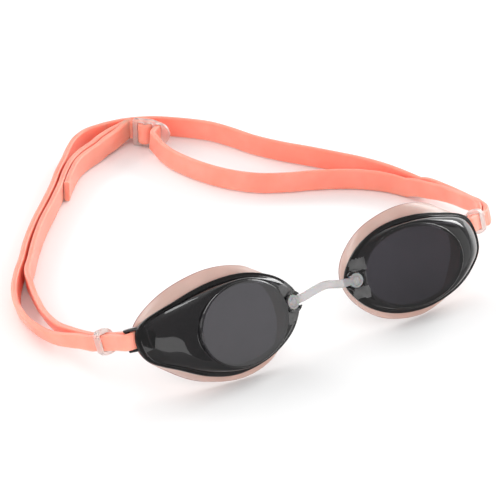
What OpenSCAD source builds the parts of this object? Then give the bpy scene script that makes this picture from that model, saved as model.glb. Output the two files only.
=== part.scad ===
// Racing swim goggles lying open, with the head strap standing on its edge behind the cups.
// The front faces -Y, +Z is up, and the origin is on the table under the middle of the outline.
// A cup's own axes are: X from the nose to the temple, Y up its face, Z out through the window.

/* [Cups] */
// Distance between the middles of the two face windows
window_pitch = 77.5; // [76:0.5:80]
// Long half-width of a face window
window_a = 20.7; // [19.5:0.1:21]
// Short half-width of a face window
window_b = 14.8; // [13.5:0.1:15.2]
// How far each cup leans back, in degrees
cup_lean = 23; // [20:0.5:25]
// How far each window turns towards the nose, in degrees
toe_in = 8.5; // [6:0.5:10]
// Wall thickness of a cup
wall = 1.6; // [1.3:0.1:1.8]

/* [Nose bridge] */
// Radius of the round end that snaps into each cup
disc_r = 2.8; // [2.5:0.1:2.9]
// Radial clearance of a round end in its socket
disc_gap = 0.05; // [0.03:0.01:0.09]
// Thickness of a round end
disc_t = 2.0; // [1.6:0.1:2.1]
// Height that the bridge arches above its ends
bridge_arch = 2.2; // [1:0.1:4]

/* [Strap] */
// Width of the strap behind the head
strap_w = 8.4; // [8:0.1:8.6]
// Width of the strap at the cups
strap_end_w = 6.0; // [5.8:0.1:6.2]
// Thickness of the strap
strap_t = 2.2; // [2:0.1:2.4]
// Radius of the post that the strap goes round
post_r = 1; // [0.9:0.1:1.2]
// Swing of the left strap pair, from straight back towards the outside, in degrees
swing_left = -4; // [-8:1:0]
// Swing of the right strap pair
swing_right = 50; // [46:1:54]

/* [Keepers and buckle] */
// Length of a keeper along the strap
keeper_l = 3.4; // [3:0.1:4]
// Distance of the left keeper from its post
keeper_left_at = 15.5; // [15:0.1:16.5]
// Distance of the right keeper from its post
keeper_right_at = 11.2; // [11:0.1:12]
// Length of the buckle along the strap
buckle_l = 15.6; // [15:0.1:16]
// Height of the buckle
buckle_h = 11.8; // [11.4:0.1:12]
// Thickness of the buckle's plate
buckle_t = 1.8; // [1.4:0.1:2]

/* [Hidden] */

// Middle of the goggles' face on the table, and the height of the windows' middles
face_mid = [-11.35, -96.28, 20.83];

// Points along the rim of a cup, every 30 degrees from the temple over the top, as [x, y, z]
RIM = [[36.3, -0.2, -14.6], [34.4, 11, -16.6], [19.2, 15.9, -10.3], [4, 17.7, -7.1],
    [-10.4, 16, -4.5], [-22.6, 9.8, -2.3], [-28.7, 0, -1.9], [-22.7, -9.8, -2.1],
    [-10.6, -15.9, -3.8], [4, -17.2, -5.4], [17, -13.8, -5.6], [27.2, -8, -7.8]];
// Points along the outer edge of a gasket, at the same angles
SEAL = [[31.4, 0, -23.8], [31, 10.4, -24.4], [20.2, 19.1, -17.6], [3.2, 22, -11.4],
    [-13.6, 17.9, -9.8], [-23, 9.4, -11.2], [-26.2, 0, -11.4], [-22.9, -9.6, -9.4],
    [-13.1, -17.3, -6.8], [2.8, -19.4, -7.6], [17.3, -15.3, -13.2], [25.9, -8.1, -19.2]];
// Steps of a curve between two of those points, and so the points round a cup
STEPS = 4;
ROUND = STEPS * len(RIM);
// Where a cup's outline is widest, which its walls close in on
HEART = [3, 0, 0];
window_turn = 3;
flange_t = 1.2;
flange_in = 1.4;
land_in = 3.2;

// Middle of a cup's nose socket, and of the strap post behind its temple end
SOCKET = [-24.6, -0.3, 0];
POST = [36, 7.1, -21.4];
socket_top = -0.2;
socket_floor = -2.5;
socket_wall = 1.25;
socket_base = 0.8;
neck_w = 3.2;
neck_t = 2;
neck_gap = 0.15;
// Angle that a round end turns each way in its socket
disc_turn = 5;
post_gap = 0.1;
arm_t = 1;
arm_gap = 0.2;
// How far the lower and upper arms reach into the flange, and how thick they are there
arm_reach = [4.2, 5.8];
arm_root = 1.7;

// How far from their posts the left and right strap loops end, and the gap there
loop_left = 20;
loop_right = 17;
loop_gap = 1.2;
strand_gap = 0.2;
edge_round = 0.7;
// Between these Y the strap widens from its end width
TAPER = [-47, 3];

// Keeper walls
keeper_side = 0.8;
keeper_end = 1.5;
keeper_gap = 0.15;
keeper_cut = 1.5;

// Buckle: middle, direction along the strap, slots and bars from its left end
BUCKLE = [36.9, 86.1, buckle_h / 2];
buckle_turn = -50;
slot_w = strap_t + 0.5;
slot_h = strap_w + 0.4;
SLOT_AT = [-4.4, -0.8, 3];

// Middle line of the strap as [x, y, height or 0 where it stands on the table, outward lean]
OUTER_ROUTE = [[-92.3, -52.3, 8.5, 6], [-93.5, -46.7, 6.9, 14], [-95.2, -40.3, 5.6, 22],
    [-95.9, -32.3, 5, 26], [-95.1, -23.3, 4.6, 28], [-92.3, -12.5, 4.2, 20], [-86.9, -1.7, 0, 12],
    [-79.2, 8.7, 0, 8], [-70.9, 18.1, 0, 6], [-61.3, 29.7, 0, 5], [-49.1, 42.7, 0, 3],
    [-36.6, 54.9, 0, 0], [-25.2, 66.1, 0, 0], [-17.6, 74.3, 0, 0], [-9.3, 82.3, 0, 0],
    [-1.4, 90.3, 0, 0], [6.2, 96.9, 0, 0], [14.5, 100.9, 0, 0], [24, 101.5, 0, 0],
    [33.2, 99.9, 0, 0], [43.4, 94.9, 0, 0], [52.2, 86.1, 0, 0], [59.2, 76.7, 0, 0],
    [62.9, 66.5, 0, 0], [65.9, 54.5, 0, 0], [70.7, 43.3, 0, 0], [76.9, 32.5, 0, 0],
    [82.5, 22.1, 0, 0], [87.5, 12.3, 0, 0], [91.1, 2.7, 0, 0], [93.9, -8.3, 0, 0],
    [96.1, -19.3, 4.8, 0], [97, -30.3, 6.2, 0], [96.4, -40.3, 7.5, 0], [94.6, -48.7, 9.1, -2],
    [93.2, -54.8, 10.5, -4], [91.3, -59.6, 11.7, -7], [89.5, -63.9, 12.8, -11],
    [87, -67.6, 13.8, -15]];
INNER_LEFT_ROUTE = [[-89.6, -51.9, 8.5, 6], [-89.5, -44.3, 6.8, 14], [-89.5, -34.9, 5.4, 24],
    [-87.3, -23.3, 4.6, 24], [-83.3, -11.3, 4, 16], [-79.3, -1.3, 0, 10], [-75.2, 7.9, 0, 6],
    [-68.4, 16.1, 0, 5], [-58.8, 27.7, 0, 4], [-47, 40.6, 0, 3], [-34.4, 52.7, 0, 0],
    [-23.1, 63.9, 0, 0], [-15.5, 72.1, 0, 0], [-7.2, 79.9, 0, 0], [0.6, 85.1, 0, 0],
    [10.8, 89.7, 4.4, 0], [20, 93.7, 4.9, 0]];
TAIL_ROUTE = [[22, 91.1, 5, 0], [12.2, 86.9, 4.5, 0], [2, 82.5, 0, 0], [-5.5, 77.9, 0, 0],
    [-13.7, 70.2, 0, 0], [-20.8, 62.7, 0, 0]];
INNER_RIGHT_ROUTE = [[31.8, 71.7, 4.2, 0], [30.8, 62.7, 0, 0], [32, 51.7, 0, 0], [34.6, 41.7, 0, 0],
    [38.5, 32.7, 0, 0], [44.9, 24.1, 0, 0], [53.6, 18, 0, 0], [63.6, 13.1, 0, 0], [72.7, 7.9, 0, 0],
    [80.5, 1.5, 0, 0], [86.7, -6.3, 0, 0], [90.7, -15.8, 4.5, 0], [92.9, -25.8, 6.2, 0],
    [93.8, -33.3, 7.4, 0], [93.3, -41.3, 8.8, 0], [91.6, -48.4, 10.4, -2], [90.4, -54.2, 11.8, -4],
    [88.9, -58.8, 12.8, -7], [87.1, -62.7, 13.5, -11], [85.1, -65.8, 14.1, -15]];

function unit(p) = p / norm(p);
function turn_x(p, a) = [p.x, p.y * cos(a) - p.z * sin(a), p.y * sin(a) + p.z * cos(a)];
function turn_z(p, a) = [p.x * cos(a) - p.y * sin(a), p.x * sin(a) + p.y * cos(a), p.z];
function cup_turned(p) = turn_z(turn_x(p, 90 - cup_lean), -toe_in);
// A direction or a point of a cup's own axes in the goggles' axes; side is -1 left, 1 right
function cup_dir(side, p) = let (q = cup_turned(p)) [side * q.x, q.y, q.z];
function cup_point(side, p) = cup_dir(side, p) + [side * window_pitch / 2, 0, 0] + face_mid;
function swing(side) = side < 0 ? swing_left : swing_right;

// Smooth curves through hand-set points
function blend4(a, b, c, d, t) = 0.5 * (2 * b + (c - a) * t + (2 * a - 5 * b + 4 * c - d) * t * t
    + (3 * b - a - 3 * c + d) * t * t * t);
function ring_curve(p) = [for (i = [0:len(p) - 1], j = [0:STEPS - 1])
    blend4(p[(i + len(p) - 1) % len(p)], p[i], p[(i + 1) % len(p)], p[(i + 2) % len(p)],
        j / STEPS)];
function open_curve(p, steps) = let (e = concat([2 * p[0] - p[1]], p,
    [2 * p[len(p) - 1] - p[len(p) - 2]]))
    concat([for (i = [1:len(e) - 3], j = [0:steps - 1])
        blend4(e[i - 1], e[i], e[i + 1], e[i + 2], j / steps)], [p[len(p) - 1]]);

// A ring moved towards the heart of the cup by d, and along Z by dz
function drawn_in(ring, d, dz) = [for (p = ring)
    let (r = [p.x - HEART.x, p.y - HEART.y], k = 1 - d / norm(r))
    [HEART.x + r.x * k, HEART.y + r.y * k, p.z + dz]];
function mixed(a, b, k, kz) = [for (i = [0:len(a) - 1])
    [a[i].x + (b[i].x - a[i].x) * k, a[i].y + (b[i].y - a[i].y) * k,
        a[i].z + (b[i].z - a[i].z) * kz]];
function oval(grow, z) = [for (i = [0:ROUND - 1]) turn_z([(window_a + grow) * cos(i * 360 / ROUND),
    (window_b + grow) * sin(i * 360 / ROUND), z], window_turn)];
rim = ring_curve(RIM);
seal = ring_curve(SEAL);
rim_under = drawn_in(rim, 0, -flange_t);
// The gasket stays nearer the nose than the strap's loop does
function tucked(ring, limit) = [for (p = ring) [min(p.x, limit), p.y, p.z]];
gasket_end = 31.5;
gasket_end_in = 29.3;
land_under = tucked(drawn_in(rim, land_in, -flange_t), gasket_end_in);

// Skin of a stack of rings, closed at both ends, or joined last to first
module skin(rings, looped) {
    n = len(rings[0]);
    m = len(rings);
    last = looped ? m - 1 : m - 2;
    sides = [for (i = [0:last], j = [0:n - 1], h = [0:1])
        let (a = i * n + j, b = i * n + (j + 1) % n, up = ((i + 1) % m) * n)
        h == 0 ? [a, b, up + (j + 1) % n] : [a, up + (j + 1) % n, up + j]];
    ends = looped ? [] : [[for (j = [n - 1:-1:0]) j], [for (j = [0:n - 1]) (m - 1) * n + j]];
    polyhedron([for (r = rings) each r], concat(sides, ends));
}

module at_cup(side) {
    translate(face_mid)
        mirror([side < 0 ? 1 : 0, 0, 0])
            translate([window_pitch / 2, 0, 0])
                rotate([90 - cup_lean, 0, -toe_in])
                    children();
}

// Clear moulded shell: window, wall and flange
module cup_shell() {
    edge = oval(0.8, -0.5);
    top = drawn_in(rim, flange_in, 0.2);
    upper = mixed(edge, top, 0.45, 0.25);
    lower = mixed(edge, top, 0.8, 0.62);
    skin([oval(0, 0), edge, upper, lower, top, rim, rim_under, land_under,
        drawn_in(lower, wall, -wall * 0.7), drawn_in(upper, wall * 0.9, -wall * 0.9),
        oval(-0.6, -wall)], false);
}

module socket_cuts() {
    translate(SOCKET) {
        translate([0, 0, socket_floor])
            cylinder(r = disc_r + disc_gap, h = 5, $fn = 64);
        half = neck_w / 2 + neck_gap;
        reach = 8;
        spread = reach * tan(disc_turn + 1.5);
        translate([0, 0, socket_floor])
            linear_extrude(5)
                polygon([[0, -half], [-reach, -half - spread], [-reach, half + spread], [0, half]]);
    }
}

// Fork behind the temple end, with the post that the strap goes round
module strap_fork() {
    arm_mid = strap_end_w / 2 + arm_gap + arm_t / 2;
    translate(POST)
        rotate([90, 0, 0]) {
            cylinder(r = post_r, h = 2 * arm_mid, center = true, $fn = 48);
            for (s = [-1, 1])
                translate([0, 0, s * arm_mid]) {
                    up = arm_reach[s < 0 ? 0 : 1];
                    root = up - arm_root;
                    cylinder(r = post_r + 0.4, h = arm_t, center = true, $fn = 48);
                    linear_extrude(arm_t, center = true)
                        polygon([[-1.3, -0.4], [1.3, 0.4], [-0.4, root], [-2.4, up],
                            [-4, up], [-4, root], [-2.4, 0.6]]);
                }
        }
}

module cup() {
    color([0.16, 0.16, 0.17, 0.85])
        difference() {
            union() {
                cup_shell();
                translate([SOCKET.x, SOCKET.y, socket_floor - socket_base])
                    cylinder(r = disc_r + disc_gap + socket_wall,
                        h = socket_top - socket_floor + socket_base, $fn = 64);
                strap_fork();
            }
            socket_cuts();
        }
}

// Soft skirt behind the flange that seals on the face
module gasket() {
    bulge = tucked(drawn_in(mixed(rim_under, seal, 0.5, 0.5), -0.6, 0), gasket_end);
    inner = tucked(mixed(land_under, drawn_in(seal, 3.4, 0.4), 0.5, 0.5), gasket_end_in);
    color([0.86, 0.68, 0.62, 0.8])
        skin([tucked(drawn_in(rim, 0.5, -flange_t - 0.15), gasket_end), bulge,
            drawn_in(seal, 0.2, 0.5), seal, drawn_in(seal, 1.4, -0.5), drawn_in(seal, 3.2, 0.2),
            inner, tucked(drawn_in(rim, land_in, -flange_t - 0.15), gasket_end_in)], true);
}

// Sweep of the strap along a path of [x, y, height, lean], narrowing towards the cups and
// lifted where its lower edge would be below the table
function section(w) = let (a = strap_t / 2, b = w / 2, c = edge_round)
    [[a, c - b], [a, b - c], [a - c, b], [c - a, b], [-a, b - c], [-a, c - b], [c - a, -b],
        [a - c, -b]];
function width_at(y) = let (k = min(1, max(0, (y - TAPER[0]) / (TAPER[1] - TAPER[0]))))
    strap_end_w + (strap_w - strap_end_w) * k * k * (3 - 2 * k);
module band(path) {
    n = len(path);
    spots = [for (p = path) [p.x, p.y, max(p.z, width_at(p.y) / 2 + 0.1)]];
    rings = [for (i = [0:n - 1])
        let (along = unit(spots[min(i + 1, n - 1)] - spots[max(i - 1, 0)]),
            flat = unit(cross(along, [0, 0, 1])), rise = cross(flat, along),
            lean = path[i][3],
            side = flat * cos(lean) + rise * sin(lean),
            up = rise * cos(lean) - flat * sin(lean))
        [for (s = section(width_at(path[i].y))) spots[i] + side * s.x + up * s.y]];
    skin(rings, false);
}

// Places things at a post: X along the strap pair, Y to its outer strand, Z along the post
module at_post(side) {
    at_cup(side)
        translate(POST)
            rotate([90, 0, 0])
                rotate([0, 0, swing(side) - 90])
                    children();
}
// The same place for a point of the strap's route
function post_point(side, x, y) = let (a = swing(side))
    cup_point(side, POST + [x * sin(a) + y * cos(a), 0, y * sin(a) - x * cos(a)]);

strand_off = (strap_t + strand_gap) / 2;
turn_r = post_r + post_gap + strap_t / 2;
function loop_end(side) = side < 0 ? loop_left : loop_right;
LOOP_HALF = [[13, strand_off], [9, strand_off], [6, strand_off + 0.25],
    [3.2, turn_r - 0.3]];

// Loop of the strap round a post
module strap_loop(side) {
    arc = [for (a = [90:15:270]) [turn_r * cos(a), turn_r * sin(a)]];
    half = concat([[loop_end(side), strand_off]], open_curve(LOOP_HALF, 2));
    back = [for (i = [len(half) - 1:-1:0]) [half[i].x, -half[i].y]];
    line = concat(half, arc, back);
    n = len(line);
    normals = [for (i = [0:n - 1]) let (d = unit(line[min(i + 1, n - 1)] - line[max(i - 1, 0)]))
        [-d.y, d.x]];
    color([0.98, 0.5, 0.44])
        at_post(side)
            linear_extrude(strap_end_w, center = true)
                polygon(concat([for (i = [0:n - 1]) line[i] + normals[i] * strap_t / 2],
                    [for (i = [n - 1:-1:0]) line[i] - normals[i] * strap_t / 2]));
}

// The stretches of the strap behind the loops start in line with the loops' ends
function lead_lean(side) = let (a = swing(side), along = cup_dir(side, [sin(a), 0, -cos(a)]))
    side * asin(cup_dir(side, [0, 1, 0]) * unit(cross(along, [0, 0, 1])));
function lead_out(side, y) = [for (x = [0, 1.5])
    concat(post_point(side, loop_end(side) + loop_gap + x, y), [lead_lean(side)])];
function reversed(p) = [for (i = [len(p) - 1:-1:0]) p[i]];
function buckle_point(x, y) = concat(BUCKLE + turn_z([x, y, 0], buckle_turn), [0]);

module strap_outer_run() {
    color([0.98, 0.5, 0.44])
        band(open_curve(concat(lead_out(-1, strand_off), OUTER_ROUTE,
            reversed(lead_out(1, strand_off))), 2));
}

layer = buckle_t / 2 + 0.15 + strap_t / 2;
module strap_inner_left() {
    far = layer + strap_t + 0.5;
    bar_mid = (SLOT_AT[0] + SLOT_AT[1]) / 2;
    round_r = (SLOT_AT[1] - SLOT_AT[0]) / 2;
    behind = [[-9.6, far - 0.6], [-6.8, far], [-3.6, far], [-1.7, far - 0.9]];
    over = concat([[SLOT_AT[1], 1.6]], [for (a = [0:-30:-180])
        [bar_mid + round_r * cos(a), -buckle_t / 2 + 0.5 + round_r * sin(a)]], [[SLOT_AT[0], 1.2]]);
    tail = [[-4.7, 2.2], [-6.2, layer + 0.25], [-8.2, layer + 0.1], [-10.6, layer - 0.6]];
    threaded = [for (p = concat(behind, over, tail)) buckle_point(p.x, p.y)];
    color([0.98, 0.5, 0.44])
        band(concat(open_curve(concat(lead_out(-1, -strand_off), INNER_LEFT_ROUTE), 2),
            threaded, open_curve(TAIL_ROUTE, 2)));
}

module strap_inner_right() {
    threaded = [for (p = [[SLOT_AT[2], 2.4], [SLOT_AT[2], 0], [SLOT_AT[2] - 0.1, -1.6],
        [SLOT_AT[2] - 0.7, -4], [SLOT_AT[2] - 0.9, -7]]) buckle_point(p.x, p.y)];
    color([0.98, 0.5, 0.44])
        band(concat(threaded, open_curve(concat(INNER_RIGHT_ROUTE,
            reversed(lead_out(1, -strand_off))), 2)));
}

// Clear plate with three slots that joins the two ends of the strap
module buckle() {
    corner = 1.2;
    tip_r = 4.9;
    color([0.93, 0.84, 0.8, 0.6])
        translate(BUCKLE)
            rotate([90, 0, buckle_turn])
                linear_extrude(buckle_t, center = true)
                    difference() {
                        hull() {
                            translate([-buckle_l / 4, 0])
                                offset(r = corner)
                                    square([buckle_l / 2 - 2 * corner, buckle_h - 2 * corner],
                                        center = true);
                            translate([buckle_l / 2 - tip_r, 0])
                                circle(r = tip_r);
                        }
                        for (x = SLOT_AT)
                            translate([x, 0])
                                square([slot_w, slot_h], center = true);
                    }
}

// Clear ring with cut corners that holds the two strands together
module keeper(side) {
    in_y = 2 * strap_t + strand_gap + 2 * keeper_gap;
    in_z = strap_end_w + 2 * keeper_gap;
    y = in_y / 2 + keeper_side;
    z = in_z / 2 + keeper_end;
    c = keeper_cut;
    color([0.93, 0.88, 0.86, 0.6])
        at_post(side)
            translate([side < 0 ? keeper_left_at : keeper_right_at, 0, 0])
                rotate([90, 0, 90])
                    linear_extrude(keeper_l, center = true)
                        difference() {
                            polygon([[y, c - z], [y, z - c], [y - c, z], [c - y, z], [-y, z - c],
                                [-y, c - z], [c - y, -z], [y - c, -z]]);
                            square([in_y, in_z], center = true);
                        }
}

// Flexible bar with a round end for each cup
module nose_bridge() {
    mid_t = socket_floor + 0.05 + disc_t / 2;
    end = [for (x = [0, -4.5, -6.5]) cup_point(1, SOCKET + [x, 0, mid_t])];
    arch = [face_mid.x, end[2].y - 0.8, end[2].z + bridge_arch];
    far_end = reversed([for (p = end) [2 * face_mid.x - p.x, p.y, p.z]]);
    path = open_curve(concat(end, [arch], far_end), 4);
    n = len(path);
    color([0.87, 0.87, 0.85, 0.8]) {
        for (side = [-1, 1])
            at_cup(side)
                translate([SOCKET.x, SOCKET.y, socket_floor + 0.05])
                    cylinder(r = disc_r, h = disc_t, $fn = 64);
        skin([for (i = [0:n - 1])
            let (along = unit(path[min(i + 1, n - 1)] - path[max(i - 1, 0)]),
                up = unit(cross(along, [0, -cos(cup_lean), sin(cup_lean)])),
                out = cross(along, up))
            [for (a = [337.5:-45:0])
                path[i] + up * neck_w / 2 * cos(a) + out * neck_t / 2 * sin(a)]], false);
    }
}

at_cup(-1) cup();  // cup_left
at_cup(1) cup();  // cup_right
at_cup(-1) gasket();  // gasket_left
at_cup(1) gasket();  // gasket_right
nose_bridge();
strap_loop(-1);  // strap_loop_left
strap_loop(1);  // strap_loop_right
strap_outer_run();
strap_inner_left();
strap_inner_right();
buckle();
keeper(-1);  // keeper_left
keeper(1);  // keeper_right
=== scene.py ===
import math
import bmesh
import bpy
from mathutils import Matrix, Vector


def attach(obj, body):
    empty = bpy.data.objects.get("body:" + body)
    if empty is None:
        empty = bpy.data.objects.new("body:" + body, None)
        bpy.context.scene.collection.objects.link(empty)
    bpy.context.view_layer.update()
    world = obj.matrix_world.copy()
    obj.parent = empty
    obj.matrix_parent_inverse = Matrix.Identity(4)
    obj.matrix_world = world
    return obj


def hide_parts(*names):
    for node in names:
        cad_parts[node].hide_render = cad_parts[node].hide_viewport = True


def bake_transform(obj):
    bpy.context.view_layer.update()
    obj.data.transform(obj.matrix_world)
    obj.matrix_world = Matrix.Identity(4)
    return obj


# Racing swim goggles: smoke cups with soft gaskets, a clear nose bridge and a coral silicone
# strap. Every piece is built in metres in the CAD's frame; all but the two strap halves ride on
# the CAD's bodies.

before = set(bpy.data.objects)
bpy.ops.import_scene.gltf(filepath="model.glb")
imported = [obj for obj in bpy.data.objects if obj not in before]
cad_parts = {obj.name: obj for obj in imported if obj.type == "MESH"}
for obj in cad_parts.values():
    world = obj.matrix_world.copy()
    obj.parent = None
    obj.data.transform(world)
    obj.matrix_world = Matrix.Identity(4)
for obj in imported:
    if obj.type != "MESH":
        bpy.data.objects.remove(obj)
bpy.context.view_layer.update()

MM = 0.001
# Points of a cut cup closer than this are one point
WELD = 0.003
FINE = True

# ---- sizes in mm, the CAD's own except EDGE_ROUND, which is 0.05 larger ----
# Middle of the goggles' face on the table, and the height of the windows' middles
FACE_MID = Vector((-11.35, -96.28, 20.83))
PITCH = 77.5
LEAN = 23.0
TOE = 8.5
WINDOW = (20.7, 14.8, 3.0)
WALL = 1.6
FLANGE_T = 1.2
FLANGE_IN = 1.4
LAND_IN = 3.2
# Where a cup's outline is widest, which its walls close in on
HEART = (3.0, 0.0)
# Rim of a cup, every 30 degrees from the temple over the top, in the cup's own axes: X from
# the nose to the temple, Y up its face, Z out through the window
RIM = [(36.3, -0.2, -14.6), (34.4, 11, -16.6), (19.2, 15.9, -10.3), (4, 17.7, -7.1),
       (-10.4, 16, -4.5), (-22.6, 9.8, -2.3), (-28.7, 0, -1.9), (-22.7, -9.8, -2.1),
       (-10.6, -15.9, -3.8), (4, -17.2, -5.4), (17, -13.8, -5.6), (27.2, -8, -7.8)]
# Outer edge of a gasket, at the same angles
SEAL = [(31.4, 0, -23.8), (31, 10.4, -24.4), (20.2, 19.1, -17.6), (3.2, 22, -11.4),
        (-13.6, 17.9, -9.8), (-23, 9.4, -11.2), (-26.2, 0, -11.4), (-22.9, -9.6, -9.4),
        (-13.1, -17.3, -6.8), (2.8, -19.4, -7.6), (17.3, -15.3, -13.2), (25.9, -8.1, -19.2)]
GASKET_END = 31.5
GASKET_END_IN = 29.3
SOCKET = (-24.6, -0.3)
SOCKET_TOP = -0.2
SOCKET_FLOOR = -2.5
SOCKET_WALL = 1.25
SOCKET_BASE = 0.8
DISC_R = 2.8
DISC_GAP = 0.05
DISC_T = 2.0
DISC_TURN = 5.0
NECK_W = 3.2
NECK_T = 2.0
NECK_GAP = 0.15
MOUTH_L = 8
BRIDGE_ARCH = 2.2
POST = (36.0, 7.1, -21.4)
POST_R = 1.0
ARM_T = 1.0
ARM_GAP = 0.2
# How far the lower and upper arms of the fork reach into the flange
ARM_REACH = {-1: 4.2, 1: 5.8}
# Swing of each strap pair, from straight back towards the outside, in degrees
SWING = {-1: -4.0, 1: 50.0}
STRAP_T = 2.2
STRAP_W = 8.4
STRAP_END_W = 6.0
# Between these Y the strap widens from its end width
TAPER = (-47.0, 3.0)
EDGE_ROUND = 0.75
STRAND_OFF = 1.2
TURN_R = 2.2
LOOP_END = {-1: 20.0, 1: 17.0}
LOOP_GAP = 1.2
KEEPER_AT = {-1: 15.5, 1: 11.2}
KEEPER_L = 3.4
KEEPER_SIDE = 0.8
KEEPER_TIP = 1.5
KEEPER_GAP = 0.15
KEEPER_CUT = 1.5
BUCKLE = Vector((36.9, 86.1, 5.9))
BUCKLE_TURN = -50.0
BUCKLE_L = 15.6
BUCKLE_H = 11.8
BUCKLE_T = 1.8
BUCKLE_GAP = 0.15
BUCKLE_TIP_R = 4.9
SLOT_W = 2.7
SLOT_H = 8.8
SLOT_AT = (-4.4, -0.8, 3.0)

# Middle line of the strap as (x, y, height or 0 where it stands on the table, outward lean)
OUTER_ROUTE = [
    (-92.3, -52.3, 8.5, 6), (-93.5, -46.7, 6.9, 14), (-95.2, -40.3, 5.6, 22),
    (-95.9, -32.3, 5, 26), (-95.1, -23.3, 4.6, 28), (-92.3, -12.5, 4.2, 20),
    (-86.9, -1.7, 0, 12), (-79.2, 8.7, 0, 8), (-70.9, 18.1, 0, 6), (-61.3, 29.7, 0, 5),
    (-49.1, 42.7, 0, 3), (-36.6, 54.9, 0, 0), (-25.2, 66.1, 0, 0), (-17.6, 74.3, 0, 0),
    (-9.3, 82.3, 0, 0), (-1.4, 90.3, 0, 0), (6.2, 96.9, 0, 0), (14.5, 100.9, 0, 0),
    (24, 101.5, 0, 0), (33.2, 99.9, 0, 0), (43.4, 94.9, 0, 0), (52.2, 86.1, 0, 0),
    (59.2, 76.7, 0, 0), (62.9, 66.5, 0, 0), (65.9, 54.5, 0, 0), (70.7, 43.3, 0, 0),
    (76.9, 32.5, 0, 0), (82.5, 22.1, 0, 0), (87.5, 12.3, 0, 0), (91.1, 2.7, 0, 0),
    (93.9, -8.3, 0, 0), (96.1, -19.3, 4.8, 0), (97, -30.3, 6.2, 0), (96.4, -40.3, 7.5, 0),
    (94.6, -48.7, 9.1, -2), (93.2, -54.8, 10.5, -4), (91.3, -59.6, 11.7, -7),
    (89.5, -63.9, 12.8, -11), (87, -67.6, 13.8, -15)]
# The point of the outer strand, near the buckle, where the two bands meet end to end
SEAM_AT = 18
INNER_LEFT_ROUTE = [
    (-89.6, -51.9, 8.5, 6), (-89.5, -44.3, 6.8, 14), (-89.5, -34.9, 5.4, 24),
    (-87.3, -23.3, 4.6, 24), (-83.3, -11.3, 4, 16), (-79.3, -1.3, 0, 10), (-75.2, 7.9, 0, 6),
    (-68.4, 16.1, 0, 5), (-58.8, 27.7, 0, 4), (-47, 40.6, 0, 3), (-34.4, 52.7, 0, 0),
    (-23.1, 63.9, 0, 0), (-15.5, 72.1, 0, 0), (-7.2, 79.9, 0, 0), (0.6, 85.1, 0, 0),
    (10.8, 89.7, 4.4, 0), (20, 93.7, 4.9, 0)]
TAIL_ROUTE = [(22, 91.1, 5, 0), (12.2, 86.9, 4.5, 0), (2, 82.5, 0, 0), (-5.5, 77.9, 0, 0),
              (-13.7, 70.2, 0, 0), (-20.8, 62.7, 0, 0)]
INNER_RIGHT_ROUTE = [
    (31.8, 71.7, 4.2, 0), (30.8, 62.7, 0, 0), (32, 51.7, 0, 0), (34.6, 41.7, 0, 0),
    (38.5, 32.7, 0, 0), (44.9, 24.1, 0, 0), (53.6, 18, 0, 0), (63.6, 13.1, 0, 0),
    (72.7, 7.9, 0, 0), (80.5, 1.5, 0, 0), (86.7, -6.3, 0, 0), (90.7, -15.8, 4.5, 0),
    (92.9, -25.8, 6.2, 0), (93.8, -33.3, 7.4, 0), (93.3, -41.3, 8.8, 0), (91.6, -48.4, 10.4, -2),
    (90.4, -54.2, 11.8, -4), (88.9, -58.8, 12.8, -7), (87.1, -62.7, 13.5, -11),
    (85.1, -65.8, 14.1, -15)]


# ---- places ----
def turn_x(p, deg):
    return Matrix.Rotation(math.radians(deg), 3, "X") @ Vector(p)


def turn_z(p, deg):
    return Matrix.Rotation(math.radians(deg), 3, "Z") @ Vector(p)


def cup_dir(side, p):
    q = turn_z(turn_x(p, 90 - LEAN), -TOE)
    return Vector((side * q.x, q.y, q.z))


def cup_point(side, p):
    return cup_dir(side, p) + Vector((side * PITCH / 2, 0, 0)) + FACE_MID


def post_point(side, x, y, z=0.0):
    a = math.radians(SWING[side])
    lift = POST[1] - z
    return cup_point(side, (POST[0] + x * math.sin(a) + y * math.cos(a), lift,
                            POST[2] + y * math.sin(a) - x * math.cos(a)))


def buckle_point(x, y, z=0.0):
    return BUCKLE + turn_z((x, y, 0), BUCKLE_TURN) + Vector((0, 0, z))


# ---- mesh helpers ----
def finish_mesh(name, bm, smooth_deg=38.0):
    bmesh.ops.recalc_face_normals(bm, faces=bm.faces)
    mesh = bpy.data.meshes.new(name)
    bm.to_mesh(mesh)
    bm.free()
    obj = bpy.data.objects.new(name, mesh)
    bpy.context.collection.objects.link(obj)
    smooth(obj, smooth_deg)
    return obj


def smooth(obj, deg):
    mesh = obj.data
    mesh.polygons.foreach_set("use_smooth", [True] * len(mesh.polygons))
    mesh.set_sharp_from_angle(angle=math.radians(deg))


def apply_modifiers(obj):
    deps = bpy.context.evaluated_depsgraph_get()
    mesh = bpy.data.meshes.new_from_object(obj.evaluated_get(deps))
    obj.modifiers.clear()
    obj.data = mesh


def combine(obj, other, how):
    mod = obj.modifiers.new(how, "BOOLEAN")
    mod.operation = how
    mod.solver = "EXACT"
    mod.object = other
    apply_modifiers(obj)
    bpy.data.objects.remove(other, do_unlink=True)


def cleaned(obj):
    """Joins near-touching points that cutting leaves, drops what has no area, shuts pinholes."""
    bm = bmesh.new()
    bm.from_mesh(obj.data)
    bmesh.ops.remove_doubles(bm, verts=bm.verts, dist=WELD * MM)
    bmesh.ops.dissolve_degenerate(bm, edges=bm.edges, dist=WELD * MM)
    bmesh.ops.triangulate(bm, faces=[f for f in bm.faces if len(f.verts) > 4])
    bmesh.ops.dissolve_degenerate(bm, edges=bm.edges, dist=WELD * MM)
    loose = [v for v in bm.verts if not v.link_faces]
    bmesh.ops.delete(bm, geom=loose, context="VERTS")
    rims = [e for e in bm.edges if len(e.link_faces) == 1]
    bmesh.ops.holes_fill(bm, edges=rims, sides=4)
    bmesh.ops.recalc_face_normals(bm, faces=bm.faces)
    bm.to_mesh(obj.data)
    bm.free()


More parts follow.
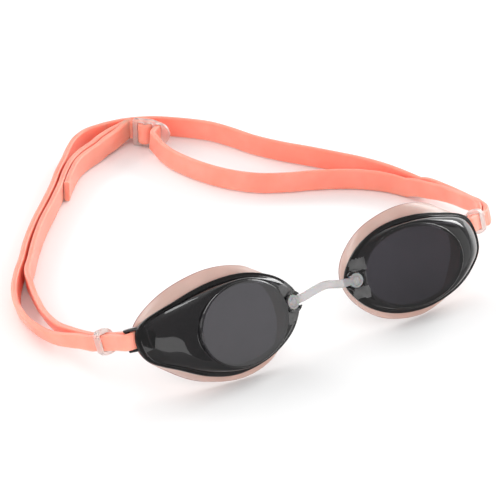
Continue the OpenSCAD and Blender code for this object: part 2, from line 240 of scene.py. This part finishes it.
def bevelled(obj, width, segments=3, deg=35.0):
    mod = obj.modifiers.new("edges", "BEVEL")
    mod.width = width * MM
    mod.segments = segments
    mod.limit_method = "ANGLE"
    mod.angle_limit = math.radians(deg)
    apply_modifiers(obj)
    smooth(obj, 50.0)


def bridge_rings(bm, rings, closed_across):
    rows = [[bm.verts.new(Vector(p) * MM) for p in ring] for ring in rings]
    count = len(rows[0])
    pairs = list(zip(rows, rows[1:]))
    if closed_across:
        pairs.append((rows[-1], rows[0]))
    for low, high in pairs:
        for j in range(count):
            k = (j + 1) % count
            bm.faces.new((low[j], low[k], high[k], high[j]))
    return rows


def cap(bm, row, rings_in=0):
    middle = sum((v.co for v in row), Vector()) / len(row)
    last = row
    for i in range(rings_in):
        share = (i + 1) / (rings_in + 1)
        inner = [bm.verts.new(v.co.lerp(middle, share)) for v in row]
        for j in range(len(row)):
            k = (j + 1) % len(row)
            bm.faces.new((last[j], last[k], inner[k], inner[j]))
        last = inner
    bm.faces.new(last)


def fillet(a, b, c, size, steps=4):
    """Points that round the corner b of the line a-b-c, starting size before it."""
    if size <= 0:
        return [b]
    first = b + (a - b).normalized() * min(size, (a - b).length * 0.48)
    last = b + (c - b).normalized() * min(size, (c - b).length * 0.48)
    out = []
    for i in range(steps + 1):
        t = i / steps
        out.append(first.lerp(b, t).lerp(b.lerp(last, t), t))
    return out


def rounded_rings(rings, sizes, closed):
    """The rings with each corner of their profile rounded to its size."""
    made = []
    last = len(rings) - 1
    for i, ring in enumerate(rings):
        if not closed and i in (0, last):
            made.append([Vector(p) for p in ring])
            continue
        before, after = rings[i - 1], rings[(i + 1) % len(rings)]
        spots = [fillet(Vector(before[j]), Vector(p), Vector(after[j]), sizes[i])
                 for j, p in enumerate(ring)]
        for k in range(len(spots[0])):
            made.append([s[k] for s in spots])
    return made


# ---- curves ----
def catmull(points, t, i, closed):
    n = len(points)
    if closed:
        a, b, c, d = (points[(i + k) % n] for k in (-1, 0, 1, 2))
    else:
        b, c = points[i], points[i + 1]
        a = points[i - 1] if i > 0 else [2 * u - v for u, v in zip(b, c)]
        d = points[i + 2] if i + 2 < n else [2 * u - v for u, v in zip(c, b)]
    return [0.5 * (2 * q + (r - p) * t + (2 * p - 5 * q + 4 * r - s) * t * t
                   + (3 * q - p - 3 * r + s) * t ** 3) for p, q, r, s in zip(a, b, c, d)]


def closed_curve(points, steps):
    return [catmull(points, j / steps, i, True) for i in range(len(points))
            for j in range(steps)]


def open_curve(points, steps):
    made = [catmull(points, j / steps, i, False) for i in range(len(points) - 1)
            for j in range(steps)]
    return made + [list(points[-1])]


# ---- cups ----
RIM_STEPS = 16 if FINE else 8
ROUND = RIM_STEPS * len(RIM)


def drawn_in(ring, d, dz):
    made = []
    for x, y, z in ring:
        rx, ry = x - HEART[0], y - HEART[1]
        k = 1 - d / math.hypot(rx, ry)
        made.append((HEART[0] + rx * k, HEART[1] + ry * k, z + dz))
    return made


def mixed(a, b, k, kz):
    return [(p[0] + (q[0] - p[0]) * k, p[1] + (q[1] - p[1]) * k, p[2] + (q[2] - p[2]) * kz)
            for p, q in zip(a, b)]


def oval(grow, z):
    made = []
    for i in range(ROUND):
        a = 2 * math.pi * i / ROUND
        p = turn_z(((WINDOW[0] + grow) * math.cos(a), (WINDOW[1] + grow) * math.sin(a), z),
                   WINDOW[2])
        made.append(tuple(p))
    return made


def tucked(ring, limit):
    return [(min(p[0], limit), p[1], p[2]) for p in ring]


rim = closed_curve(RIM, RIM_STEPS)
seal = closed_curve(SEAL, RIM_STEPS)


def placed(side, rings):
    return [[cup_point(side, p) for p in ring] for ring in rings]


# Rows of the gasket's mesh that round its free edge, which get a painted dark shade, and where a
# cup is matt by its socket
SHADED_SEAL_ROWS = (12, 18)
MATT_AT = ((-26.2, -19.8), (3.0, 7.4), -2.0)


def cup_shell_rings():
    edge = oval(0.8, -0.5)
    top = drawn_in(rim, FLANGE_IN, 0.2)
    upper = mixed(edge, top, 0.45, 0.25)
    lower = mixed(edge, top, 0.8, 0.62)
    land = tucked(drawn_in(rim, LAND_IN, -FLANGE_T), GASKET_END_IN)
    crest = oval(0.35, -0.3)
    foot = mixed(crest, top, 0.02, 0.14)
    groove = mixed(edge, top, 0.10, 0.15)
    rings = [oval(0, 0), crest, foot, groove, upper, lower, top, rim,
             drawn_in(rim, 0, -FLANGE_T), land,
             drawn_in(lower, WALL, -WALL * 0.7), drawn_in(upper, WALL * 0.9, -WALL * 0.9),
             drawn_in(groove, WALL, -WALL * 0.8), oval(-0.6, -WALL)]
    sizes = [0.12, 0.2, 0.35, 0.5, 3.0, 2.2, 0.5, 0.35, 0.3, 0.3, 2.0, 2.5, 0.5, 0.3]
    ends = [oval(-1.2, 0), oval(-1.8, -WALL)]
    return rounded_rings([ends[0]] + rings + [ends[1]], [0] + sizes + [0], False)


def lathe(name, side, middle, profile, count=96):
    """A turned solid about the cup's own Z through middle; profile is (radius, z) from below."""
    bm = bmesh.new()
    rings = []
    for radius, z in profile:
        ring = []
        for i in range(count):
            a = 2 * math.pi * i / count
            ring.append(cup_point(side, (middle[0] + radius * math.cos(a),
                                         middle[1] + radius * math.sin(a), z)))
        rings.append(ring)
    rows = bridge_rings(bm, rings, False)
    bm.faces.new(rows[0])
    bm.faces.new(rows[-1])
    return finish_mesh(name, bm)


def prism(name, outline, low, high, to_world):
    bm = bmesh.new()
    rows = bridge_rings(bm, [[to_world(x, y, z) for x, y in outline] for z in (low, high)],
                        False)
    bm.faces.new(rows[0])
    bm.faces.new(rows[-1])
    return finish_mesh(name, bm, 25.0)


def circle(radius, count=48, x=0.0, y=0.0):
    return [(x + radius * math.cos(2 * math.pi * i / count),
             y + radius * math.sin(2 * math.pi * i / count)) for i in range(count)]


def fork_arm(name, side, s):
    """One arm of the fork that holds the strap's post, with its hooked tip."""
    mid = STRAP_END_W / 2 + ARM_GAP + ARM_T / 2
    reach = ARM_REACH[s]
    outline = [(1.25, -0.65), (1.4, 0.1), (0.9, 0.9), (-0.4, reach - 1.6), (-1.5, reach - 0.3),
               (-2.4, reach), (-4, reach), (-4, reach - 1.8), (-2.4, 0.6), (-1.3, -0.4),
               (-0.7, -1.2), (0.3, -1.4)]
    arm = prism(name, outline, s * mid - ARM_T / 2, s * mid + ARM_T / 2,
                lambda x, y, z: cup_point(side, (POST[0] + x, POST[1] - z, POST[2] + y)))
    bevelled(arm, 0.22, 2)
    return arm


def cup(side, name):
    bm = bmesh.new()
    rows = bridge_rings(bm, placed(side, cup_shell_rings()), False)
    cap(bm, rows[0], 3)
    cap(bm, rows[-1], 3)
    shell = finish_mesh(name, bm, 30.0)
    outer = DISC_R + DISC_GAP + SOCKET_WALL
    base = SOCKET_FLOOR - SOCKET_BASE
    combine(shell, lathe("socket", side, SOCKET, [
        (outer - 0.4, base), (outer, base + 0.3), (outer, SOCKET_TOP - 0.3),
        (outer - 0.12, SOCKET_TOP - 0.08), (outer - 0.35, SOCKET_TOP)]), "UNION")
    mid = STRAP_END_W / 2 + ARM_GAP + ARM_T / 2
    combine(shell, prism("post", circle(POST_R), -mid, mid, lambda x, y, z: cup_point(
        side, (POST[0] + x, POST[1] - z, POST[2] + y))), "UNION")
    for s in (-1, 1):
        combine(shell, fork_arm("arm", side, s), "UNION")
    bore = DISC_R + DISC_GAP
    combine(shell, lathe("bore", side, SOCKET, [
        (bore, SOCKET_FLOOR), (bore, SOCKET_TOP - 0.25), (bore + 0.25, SOCKET_TOP),
        (bore + 0.3, SOCKET_FLOOR + 5)]), "DIFFERENCE")
    half = NECK_W / 2 + NECK_GAP
    spread = MOUTH_L * math.tan(math.radians(DISC_TURN + 1.5))
    mouth = [(0, -half), (0, half), (-MOUTH_L, half + spread), (-MOUTH_L, -half - spread)]
    combine(shell, prism("mouth", mouth, SOCKET_FLOOR, SOCKET_FLOOR + 5,
                         lambda x, y, z: cup_point(side, (SOCKET[0] + x, SOCKET[1] + y, z))),
            "DIFFERENCE")
    cleaned(shell)
    smooth(shell, 30.0)
    return shell


def gasket(side, name):
    under = drawn_in(rim, 0, -FLANGE_T)
    land = tucked(drawn_in(rim, LAND_IN, -FLANGE_T), GASKET_END_IN)
    bulge = tucked(drawn_in(mixed(under, seal, 0.5, 0.5), -0.6, 0), GASKET_END)
    inner = tucked(mixed(land, drawn_in(seal, 3.4, 0.4), 0.5, 0.5), GASKET_END_IN)
    low = -FLANGE_T - 0.15
    rings = [tucked(drawn_in(rim, 0.5, low), GASKET_END), bulge, drawn_in(seal, 0.2, 0.5), seal,
             drawn_in(seal, 1.4, -0.5), drawn_in(seal, 3.2, 0.2), inner,
             tucked(drawn_in(rim, LAND_IN, low), GASKET_END_IN)]
    sizes = [0.3, 2.4, 0.3, 0.4, 0.8, 0.6, 2.2, 0.3]
    bm = bmesh.new()
    bridge_rings(bm, placed(side, rounded_rings(rings, sizes, True)), True)
    return finish_mesh(name, bm, 60.0)


# ---- nose bridge ----
def disc_profile():
    low = SOCKET_FLOOR + 0.05
    top = low + DISC_T
    return [(0.5, low), (DISC_R - 0.25, low), (DISC_R, low + 0.25), (DISC_R, top - 0.3),
            (DISC_R - 0.1, top - 0.08), (DISC_R - 0.3, top), (DISC_R - 0.75, top),
            (DISC_R - 0.95, top - 0.22), (DISC_R - 1.25, top - 0.22), (DISC_R - 1.45, top + 0.05),
            (DISC_R - 1.8, top + 0.18), (0.4, top + 0.24), (0.05, top + 0.25)]


def nose_bridge(name):
    mid_t = SOCKET_FLOOR + 0.05 + DISC_T / 2
    end = [cup_point(1, (SOCKET[0] + x, SOCKET[1], mid_t)) for x in (-1.5, -4.5, -6.5)]
    arch = Vector((FACE_MID.x, end[2].y - 0.8, end[2].z + BRIDGE_ARCH))
    far = [Vector((2 * FACE_MID.x - p.x, p.y, p.z)) for p in reversed(end)]
    path = [Vector(p) for p in open_curve([tuple(p) for p in end + [arch] + far], 10)]
    rings = []
    for i, spot in enumerate(path):
        along = (path[min(i + 1, len(path) - 1)] - path[max(i - 1, 0)]).normalized()
        lean = math.radians(LEAN)
        up = along.cross(Vector((0, -math.cos(lean), math.sin(lean)))).normalized()
        out = along.cross(up)
        ring = []
        for k in range(32):
            a = 2 * math.pi * k / 32
            c, s = math.cos(a), math.sin(a)
            flat = (abs(c) ** 3 + abs(s) ** 3) ** (-1 / 3)
            ring.append(spot + up * NECK_W * 0.48 * c * flat + out * NECK_T * 0.48 * s * flat)
        rings.append(ring)
    bm = bmesh.new()
    rows = bridge_rings(bm, rings, False)
    bm.faces.new(rows[0])
    bm.faces.new(rows[-1])
    bar = finish_mesh(name, bm)
    for side in (-1, 1):
        combine(bar, lathe("disc", side, SOCKET, disc_profile()), "UNION")
    smooth(bar, 40.0)
    return bar


# ---- strap ----
def width_at(y):
    k = min(1.0, max(0.0, (y - TAPER[0]) / (TAPER[1] - TAPER[0])))
    return STRAP_END_W + (STRAP_W - STRAP_END_W) * k * k * (3 - 2 * k)


def section(width):
    """Outline of the strap across its length, a bar with rounded corners and flat faces."""
    a, b, r = STRAP_T / 2, width / 2, EDGE_ROUND
    made = []
    for cx, cy, start in ((a - r, b - r, 0), (r - a, b - r, 90), (r - a, r - b, 180),
                          (a - r, r - b, 270)):
        for i in range(6):
            t = math.radians(start + i * 18)
            made.append((cx + r * math.cos(t), cy + r * math.sin(t)))
    return made


def lead_lean(side):
    a = math.radians(SWING[side])
    along = cup_dir(side, (math.sin(a), 0, -math.cos(a)))
    flat = along.cross(Vector((0, 0, 1))).normalized()
    return side * math.degrees(math.asin(cup_dir(side, (0, 1, 0)).dot(flat)))


def lead_out(side, y):
    lean = lead_lean(side)
    return [tuple(post_point(side, LOOP_END[side] + LOOP_GAP + x, y)) + (lean,)
            for x in (0, 1.5)]


def frames(path):
    """Stations (point, thickness direction, width direction, width) along a standing route."""
    spots = [Vector((p[0], p[1], max(p[2], width_at(p[1]) / 2 + 0.1))) for p in path]
    made = []
    for i, spot in enumerate(spots):
        along = (spots[min(i + 1, len(spots) - 1)] - spots[max(i - 1, 0)]).normalized()
        flat = along.cross(Vector((0, 0, 1))).normalized()
        rise = flat.cross(along)
        a = math.radians(path[i][3])
        made.append((spot, flat * math.cos(a) + rise * math.sin(a),
                     rise * math.cos(a) - flat * math.sin(a), width_at(path[i][1])))
    return made


def loop_frames(side, first_y):
    """Stations round a post, from the strand on the side first_y to the other strand."""
    half = [(LOOP_END[side], STRAND_OFF), (13, STRAND_OFF), (9, STRAND_OFF),
            (6, STRAND_OFF + 0.25), (3.2, TURN_R - 0.3)]
    half = open_curve(half, 4)
    arc = [(TURN_R * math.cos(math.radians(a)), TURN_R * math.sin(math.radians(a)))
           for a in range(90, 271, 9)]
    line = half + arc + [(x, -y) for x, y in reversed(half)]
    if first_y < 0:
        line = [(x, -y) for x, y in line]
    up = cup_dir(side, (0, 1, 0))
    spots = [post_point(side, x, y) for x, y in line]
    made = []
    for i, spot in enumerate(spots):
        along = (spots[min(i + 1, len(spots) - 1)] - spots[max(i - 1, 0)]).normalized()
        made.append((spot, along.cross(up).normalized(), up, STRAP_END_W))
    return made


def turned_back(stations):
    return [(p, -flat, up, w) for p, flat, up, w in reversed(stations)]


def sweep(name, stations):
    rings = []
    for spot, flat, up, width in stations:
        rings.append([spot + flat * x + up * y for x, y in section(width)])
    bm = bmesh.new()
    rows = bridge_rings(bm, rings, False)
    cap(bm, rows[0], 1)
    cap(bm, rows[-1], 1)
    return finish_mesh(name, bm, 50.0)


def on_buckle(points):
    return [tuple(buckle_point(x, y)) + (0.0,) for x, y in points]


def left_stations():
    outer = lead_out(-1, STRAND_OFF) + OUTER_ROUTE[:SEAM_AT + 1]
    inner = lead_out(-1, -STRAND_OFF) + INNER_LEFT_ROUTE
    layer = BUCKLE_T / 2 + BUCKLE_GAP + STRAP_T / 2
    far = layer + STRAP_T + 0.5
    bar_mid = (SLOT_AT[0] + SLOT_AT[1]) / 2
    bar_r = (SLOT_AT[1] - SLOT_AT[0]) / 2
    behind = [(-9.6, far - 0.6), (-6.8, far), (-3.6, far), (-1.7, far - 0.9)]
    over = [(SLOT_AT[1], 1.6)]
    for a in range(0, -181, -15):
        over.append((bar_mid + bar_r * math.cos(math.radians(a)),
                     -BUCKLE_T / 2 + 0.5 + bar_r * math.sin(math.radians(a))))
    over.append((SLOT_AT[0], 1.2))
    tail = [(-4.7, 2.2), (-6.2, layer + 0.25), (-8.2, layer + 0.1), (-10.6, layer - 0.6)]
    threaded = open_curve(on_buckle(behind + over + tail), 2)
    path = open_curve(inner, 6) + threaded + open_curve(TAIL_ROUTE, 6)
    return turned_back(frames(open_curve(outer, 6))) + loop_frames(-1, 1) + frames(path)


def right_stations():
    outer = OUTER_ROUTE[SEAM_AT:] + list(reversed(lead_out(1, STRAND_OFF)))
    slot = on_buckle([(SLOT_AT[2], 2.4), (SLOT_AT[2], 0), (SLOT_AT[2] - 0.1, -1.6),
                      (SLOT_AT[2] - 0.7, -4), (SLOT_AT[2] - 0.9, -7)])
    inner = INNER_RIGHT_ROUTE + list(reversed(lead_out(1, -STRAND_OFF)))
    back = frames(open_curve(slot, 3) + open_curve(inner, 6))
    return frames(open_curve(outer, 6)) + loop_frames(1, 1) + turned_back(back)


# ---- buckle and keepers ----
def rounded_outline(corners, radius, steps=4):
    made = []
    for i, b in enumerate(corners):
        a, c = corners[i - 1], corners[(i + 1) % len(corners)]
        for p in fillet(Vector(a + (0,)), Vector(b + (0,)), Vector(c + (0,)), radius, steps):
            made.append((p.x, p.y))
    return made


def box_outline(x, half_x, half_y):
    return [(x - half_x, -half_y), (x + half_x, -half_y), (x + half_x, half_y),
            (x - half_x, half_y)]


def buckle(name):
    tip_x = BUCKLE_L / 2 - BUCKLE_TIP_R
    outline = rounded_outline([(0, BUCKLE_H / 2), (-BUCKLE_L / 2, BUCKLE_H / 2),
                               (-BUCKLE_L / 2, -BUCKLE_H / 2), (0, -BUCKLE_H / 2)], 1.2)
    outline = [p for p in outline if p[0] < -1.3]
    outline += [(-0.1, -BUCKLE_H / 2), (0.9, -BUCKLE_H / 2 + 0.1)]
    for a in range(-78, 79, 6):
        outline.append((tip_x + BUCKLE_TIP_R * math.cos(math.radians(a)),
                        BUCKLE_TIP_R * math.sin(math.radians(a))))
    outline += [(0.9, BUCKLE_H / 2 - 0.1), (-0.1, BUCKLE_H / 2)]

    def to_world(x, y, z):
        return buckle_point(x, z, y)

    plate = prism(name, outline, -BUCKLE_T / 2, BUCKLE_T / 2, to_world)
    for x in SLOT_AT:
        hole = rounded_outline(box_outline(x, SLOT_W / 2, SLOT_H / 2), 0.5)
        combine(plate, prism("slot", hole, -2, 2, to_world), "DIFFERENCE")
    bevelled(plate, 0.3)
    return plate


def keeper(side, name):
    in_y = STRAP_T + 0.1 + KEEPER_GAP
    in_z = STRAP_END_W / 2 + KEEPER_GAP
    y, z, c = in_y + KEEPER_SIDE, in_z + KEEPER_TIP, KEEPER_CUT
    outline = rounded_outline([(y, c - z), (y, z - c), (y - c, z), (c - y, z), (-y, z - c),
                               (-y, c - z), (c - y, -z), (y - c, -z)], 0.5, 3)

    def to_world(a, b, along):
        return post_point(side, KEEPER_AT[side] + along, a, b)

    ring = prism(name, outline, -KEEPER_L / 2, KEEPER_L / 2, to_world)
    hole = rounded_outline([(in_y, -in_z), (in_y, in_z), (-in_y, in_z), (-in_y, -in_z)], 0.3)
    combine(ring, prism("hole", hole, -3, 3, to_world), "DIFFERENCE")
    bevelled(ring, 0.25)
    return ring


# ---- materials ----
def node(nt, kind, **values):
    made = nt.nodes.new(kind)
    for key, value in values.items():
        setattr(made, key, value)
    return made


def ramp(nt, source, stops):
    made = nt.nodes.new("ShaderNodeValToRGB")
    elements = made.color_ramp.elements
    while len(elements) < len(stops):
        elements.new(0.5)
    for element, (at, colour) in zip(elements, stops):
        element.position = at
        element.color = tuple(colour) + (1,)
    nt.links.new(source, made.inputs[0])
    return made.outputs[0]


def grey(value):
    return (value, value, value)


def material(name, colour, second, worn, rough, patch=60.0, grain=900.0, bump=0.15, **settings):
    """Two mixed tones, a paler worn edge, uneven gloss and a fine moulded grain."""
    mat = bpy.data.materials.new(name)
    mat.use_nodes = True
    nt = mat.node_tree
    shader = nt.nodes["Principled BSDF"]
    place = node(nt, "ShaderNodeTexCoord").outputs["Object"]
    broad = node(nt, "ShaderNodeTexNoise")
    broad.inputs["Scale"].default_value = patch
    broad.inputs["Detail"].default_value = 3
    fine = node(nt, "ShaderNodeTexNoise")
    fine.inputs["Scale"].default_value = grain
    fine.inputs["Detail"].default_value = 4
    for texture in (broad, fine):
        nt.links.new(place, texture.inputs["Vector"])
    tone = ramp(nt, broad.outputs["Fac"], [(0.35, colour), (0.65, second)])
    shape = node(nt, "ShaderNodeNewGeometry").outputs["Pointiness"]
    edge = ramp(nt, shape, [(0.54, grey(0)), (0.64, grey(1))])
    mix = node(nt, "ShaderNodeMix", data_type="RGBA")
    nt.links.new(edge, mix.inputs["Factor"])
    nt.links.new(tone, mix.inputs["A"])
    mix.inputs["B"].default_value = tuple(worn) + (1,)
    nt.links.new(mix.outputs["Result"], shader.inputs["Base Color"])
    gloss = ramp(nt, broad.outputs["Fac"], [(0.3, grey(rough[0])), (0.7, grey(rough[1]))])
    nt.links.new(gloss, shader.inputs["Roughness"])
    relief = node(nt, "ShaderNodeBump")
    relief.inputs["Strength"].default_value = bump
    relief.inputs["Distance"].default_value = 0.00005
    nt.links.new(fine.outputs["Fac"], relief.inputs["Height"])
    nt.links.new(relief.outputs["Normal"], shader.inputs["Normal"])
    for key, value in settings.items():
        shader.inputs[key.replace("_", " ")].default_value = value
    return mat


def soft_look(weight, depth):
    return {"Subsurface_Weight": weight, "Subsurface_Scale": depth}


# Walls and window are one smoke plastic: the walls' much darker base colour here is painted
# shade, and the window's paler tint below is the same plastic unshaded.
WALL_SMOKE_PAINTED_SHADE = material("smoke_lens", (0.005, 0.005, 0.006), (0.009, 0.008, 0.009),
                 (0.015, 0.015, 0.015), (0.02, 0.05), patch=40, bump=0.02,
                 Transmission_Weight=1.0, IOR=1.36)
MATT_SMOKE = material("smoke_matt", (0.05, 0.05, 0.05), (0.09, 0.09, 0.09),
                      (0.08, 0.08, 0.08), (0.34, 0.46), patch=300, bump=0.3,
                      Transmission_Weight=0.5, IOR=1.58)
WINDOW_SMOKE = material("smoke_window", (0.026, 0.024, 0.031), (0.033, 0.030, 0.038),
                        (0.06, 0.06, 0.06), (0.02, 0.05), patch=40, bump=0.02,
                        Transmission_Weight=1.0, IOR=1.43)
GASKET = material("gasket_silicone", (0.60, 0.41, 0.355), (0.68, 0.49, 0.43),
                  (0.76, 0.60, 0.56), (0.30, 0.42), Transmission_Weight=0.35, IOR=1.41,
                  **soft_look(0.5, 0.003))
# Painted shade: a dark red-brown for the gasket's free edge, which looks dark only by how light
# passes through the silicone there
GASKET_EDGE_PAINTED_SHADE = material("gasket_edge_painted_shade", (0.26, 0.11, 0.10), (0.32, 0.15, 0.13),
                       (0.36, 0.18, 0.16), (0.30, 0.42), IOR=1.41)
BRIDGE = material("bridge_clear", (0.58, 0.57, 0.57), (0.66, 0.65, 0.65), (0.8, 0.8, 0.8),
                  (0.18, 0.30), Transmission_Weight=0.6, IOR=1.45, **soft_look(0.4, 0.002))
STRAP = material("strap_silicone", (0.90, 0.285, 0.205), (0.93, 0.34, 0.255),
                 (0.98, 0.42, 0.32), (0.36, 0.48), IOR=1.41, **soft_look(0.65, 0.004))
STRAP.node_tree.nodes["Principled BSDF"].inputs["Subsurface Radius"].default_value = (
    1.0, 0.35, 0.25)
GASKET.node_tree.nodes["Principled BSDF"].inputs["Subsurface Radius"].default_value = (
    1.0, 0.6, 0.5)
CLIP = material("clip_clear", (0.93, 0.84, 0.80), (0.95, 0.88, 0.85), (0.97, 0.94, 0.92),
                (0.26, 0.38), bump=0.05, Transmission_Weight=0.8, IOR=1.45)


def within(value, limits):
    return limits[0] < value < limits[1]


def tint_cup(shell, side):
    """The window gets a paler smoke and the walls keep a much darker one, painted shade on one
    plastic; the flange is matt beside the socket.
    """
    shell.data.materials.append(WINDOW_SMOKE)
    shell.data.materials.append(MATT_SMOKE)
    middle = cup_point(side, (0, 0, 0))
    axes = [cup_dir(side, axis) for axis in ((1, 0, 0), (0, 1, 0), (0, 0, 1))]
    for face in shell.data.polygons:
        p = face.center / MM - middle
        x, y, z = (p.dot(axis) for axis in axes)
        across = turn_z((x, y, 0), -WINDOW[2])
        inside = (across.x / WINDOW[0]) ** 2 + (across.y / WINDOW[1]) ** 2 < 1
        if inside and z > -WALL - 0.1:
            face.material_index = 1
        elif within(x, MATT_AT[0]) and within(abs(y), MATT_AT[1]) and z > MATT_AT[2]:
            face.material_index = 2


def paint_gasket_edge_shade(skirt):
    """The free edge of the gasket, painted dark as shade where its silicone is thickest to look
    along.
    """
    skirt.data.materials.append(GASKET_EDGE_PAINTED_SHADE)
    for face in skirt.data.polygons:
        if SHADED_SEAL_ROWS[0] <= face.index // ROUND < SHADED_SEAL_ROWS[1]:
            face.material_index = 1


def dress(obj, mat):
    obj.data.materials.clear()
    obj.data.materials.append(mat)


# ---- the pieces ----
SIDES = ((-1, "left"), (1, "right"))
for side, word in SIDES:
    body = word + "_eye"
    shell = cup(side, word + "_cup_moulded")
    dress(shell, WALL_SMOKE_PAINTED_SHADE)
    tint_cup(shell, side)
    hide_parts("cup_" + word)
    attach(shell, body)
    skirt = gasket(side, word + "_gasket_skirt")
    dress(skirt, GASKET)
    paint_gasket_edge_shade(skirt)
    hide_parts("gasket_" + word)
    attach(skirt, body)
    ring = keeper(side, word + "_keeper_ring")
    dress(ring, CLIP)
    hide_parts("keeper_" + word)
    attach(ring, word + "_keeper")

bar = nose_bridge("bridge_bar")
dress(bar, BRIDGE)
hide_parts("nose_bridge")
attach(bar, "strap")

plate = buckle("buckle_plate")
dress(plate, CLIP)
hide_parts("buckle")
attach(plate, "strap")

left = sweep("strap_left_half", left_stations())
dress(left, STRAP)
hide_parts("strap_loop_left", "strap_inner_left", "strap_outer_run")
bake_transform(left)

right = sweep("strap_right_half", right_stations())
dress(right, STRAP)
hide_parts("strap_loop_right", "strap_inner_right")
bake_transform(right)


# ---- floor, light and camera ----
CAMERA_AT = (-0.66875, -0.9272, 0.5618)
CAMERA_AIM = (-0.02475, -0.0644, 0.0299)
CAMERA_LENS = 236.3
SKY = 0.66
EXPOSURE = 0.3
# Each lamp's place, size and power; all face the origin
LAMPS = {
    "right": ((1.25, 0.3, 0.5), (0.7, 0.5), 8.0),
    "back": ((-0.2, 1.4, 0.7), (1.2, 0.6), 6.8),
    "left": ((-1.15, 0.7, 0.65), (0.8, 0.6), 2.2),
    "front_left": ((-0.78, -0.86, 0.27), (1.5, 0.6), 6.6),
    "front_right": ((1.0, -0.88, 0.25), (0.9, 0.5), 1.4),
}


def floor():
    bpy.ops.mesh.primitive_plane_add(size=8, location=(0, 0, -0.0002))
    plane = bpy.context.object
    plane.name = "table"
    mat = bpy.data.materials.new("table")
    mat.use_nodes = True
    shader = mat.node_tree.nodes["Principled BSDF"]
    shader.inputs["Base Color"].default_value = (0.96, 0.96, 0.96, 1)
    shader.inputs["Roughness"].default_value = 0.6
    plane.data.materials.append(mat)


def area(name, at, size, power):
    data = bpy.data.lights.new(name, "AREA")
    data.shape = "RECTANGLE"
    data.size, data.size_y = size
    data.energy = power
    lamp = bpy.data.objects.new(name, data)
    lamp.location = at
    lamp.visible_camera = False
    lamp.rotation_euler = (-Vector(at)).to_track_quat("-Z", "Y").to_euler()
    bpy.context.collection.objects.link(lamp)


def camera():
    data = bpy.data.cameras.new("camera")
    data.lens = CAMERA_LENS
    data.sensor_width = 36
    data.clip_end = 50
    obj = bpy.data.objects.new("camera", data)
    obj.location = CAMERA_AT
    look = Vector(CAMERA_AIM) - Vector(CAMERA_AT)
    obj.rotation_euler = look.to_track_quat("-Z", "Y").to_euler()
    bpy.context.collection.objects.link(obj)
    bpy.context.scene.camera = obj


def studio():
    scene = bpy.context.scene
    world = bpy.data.worlds.new("studio")
    world.use_nodes = True
    sky = world.node_tree.nodes["Background"]
    sky.inputs["Color"].default_value = (1, 1, 1, 1)
    sky.inputs["Strength"].default_value = SKY
    scene.world = world
    scene.view_settings.view_transform = "Standard"
    scene.view_settings.exposure = EXPOSURE
    for name, (at, size, power) in LAMPS.items():
        area(name, at, size, power)


floor()
camera()
studio()
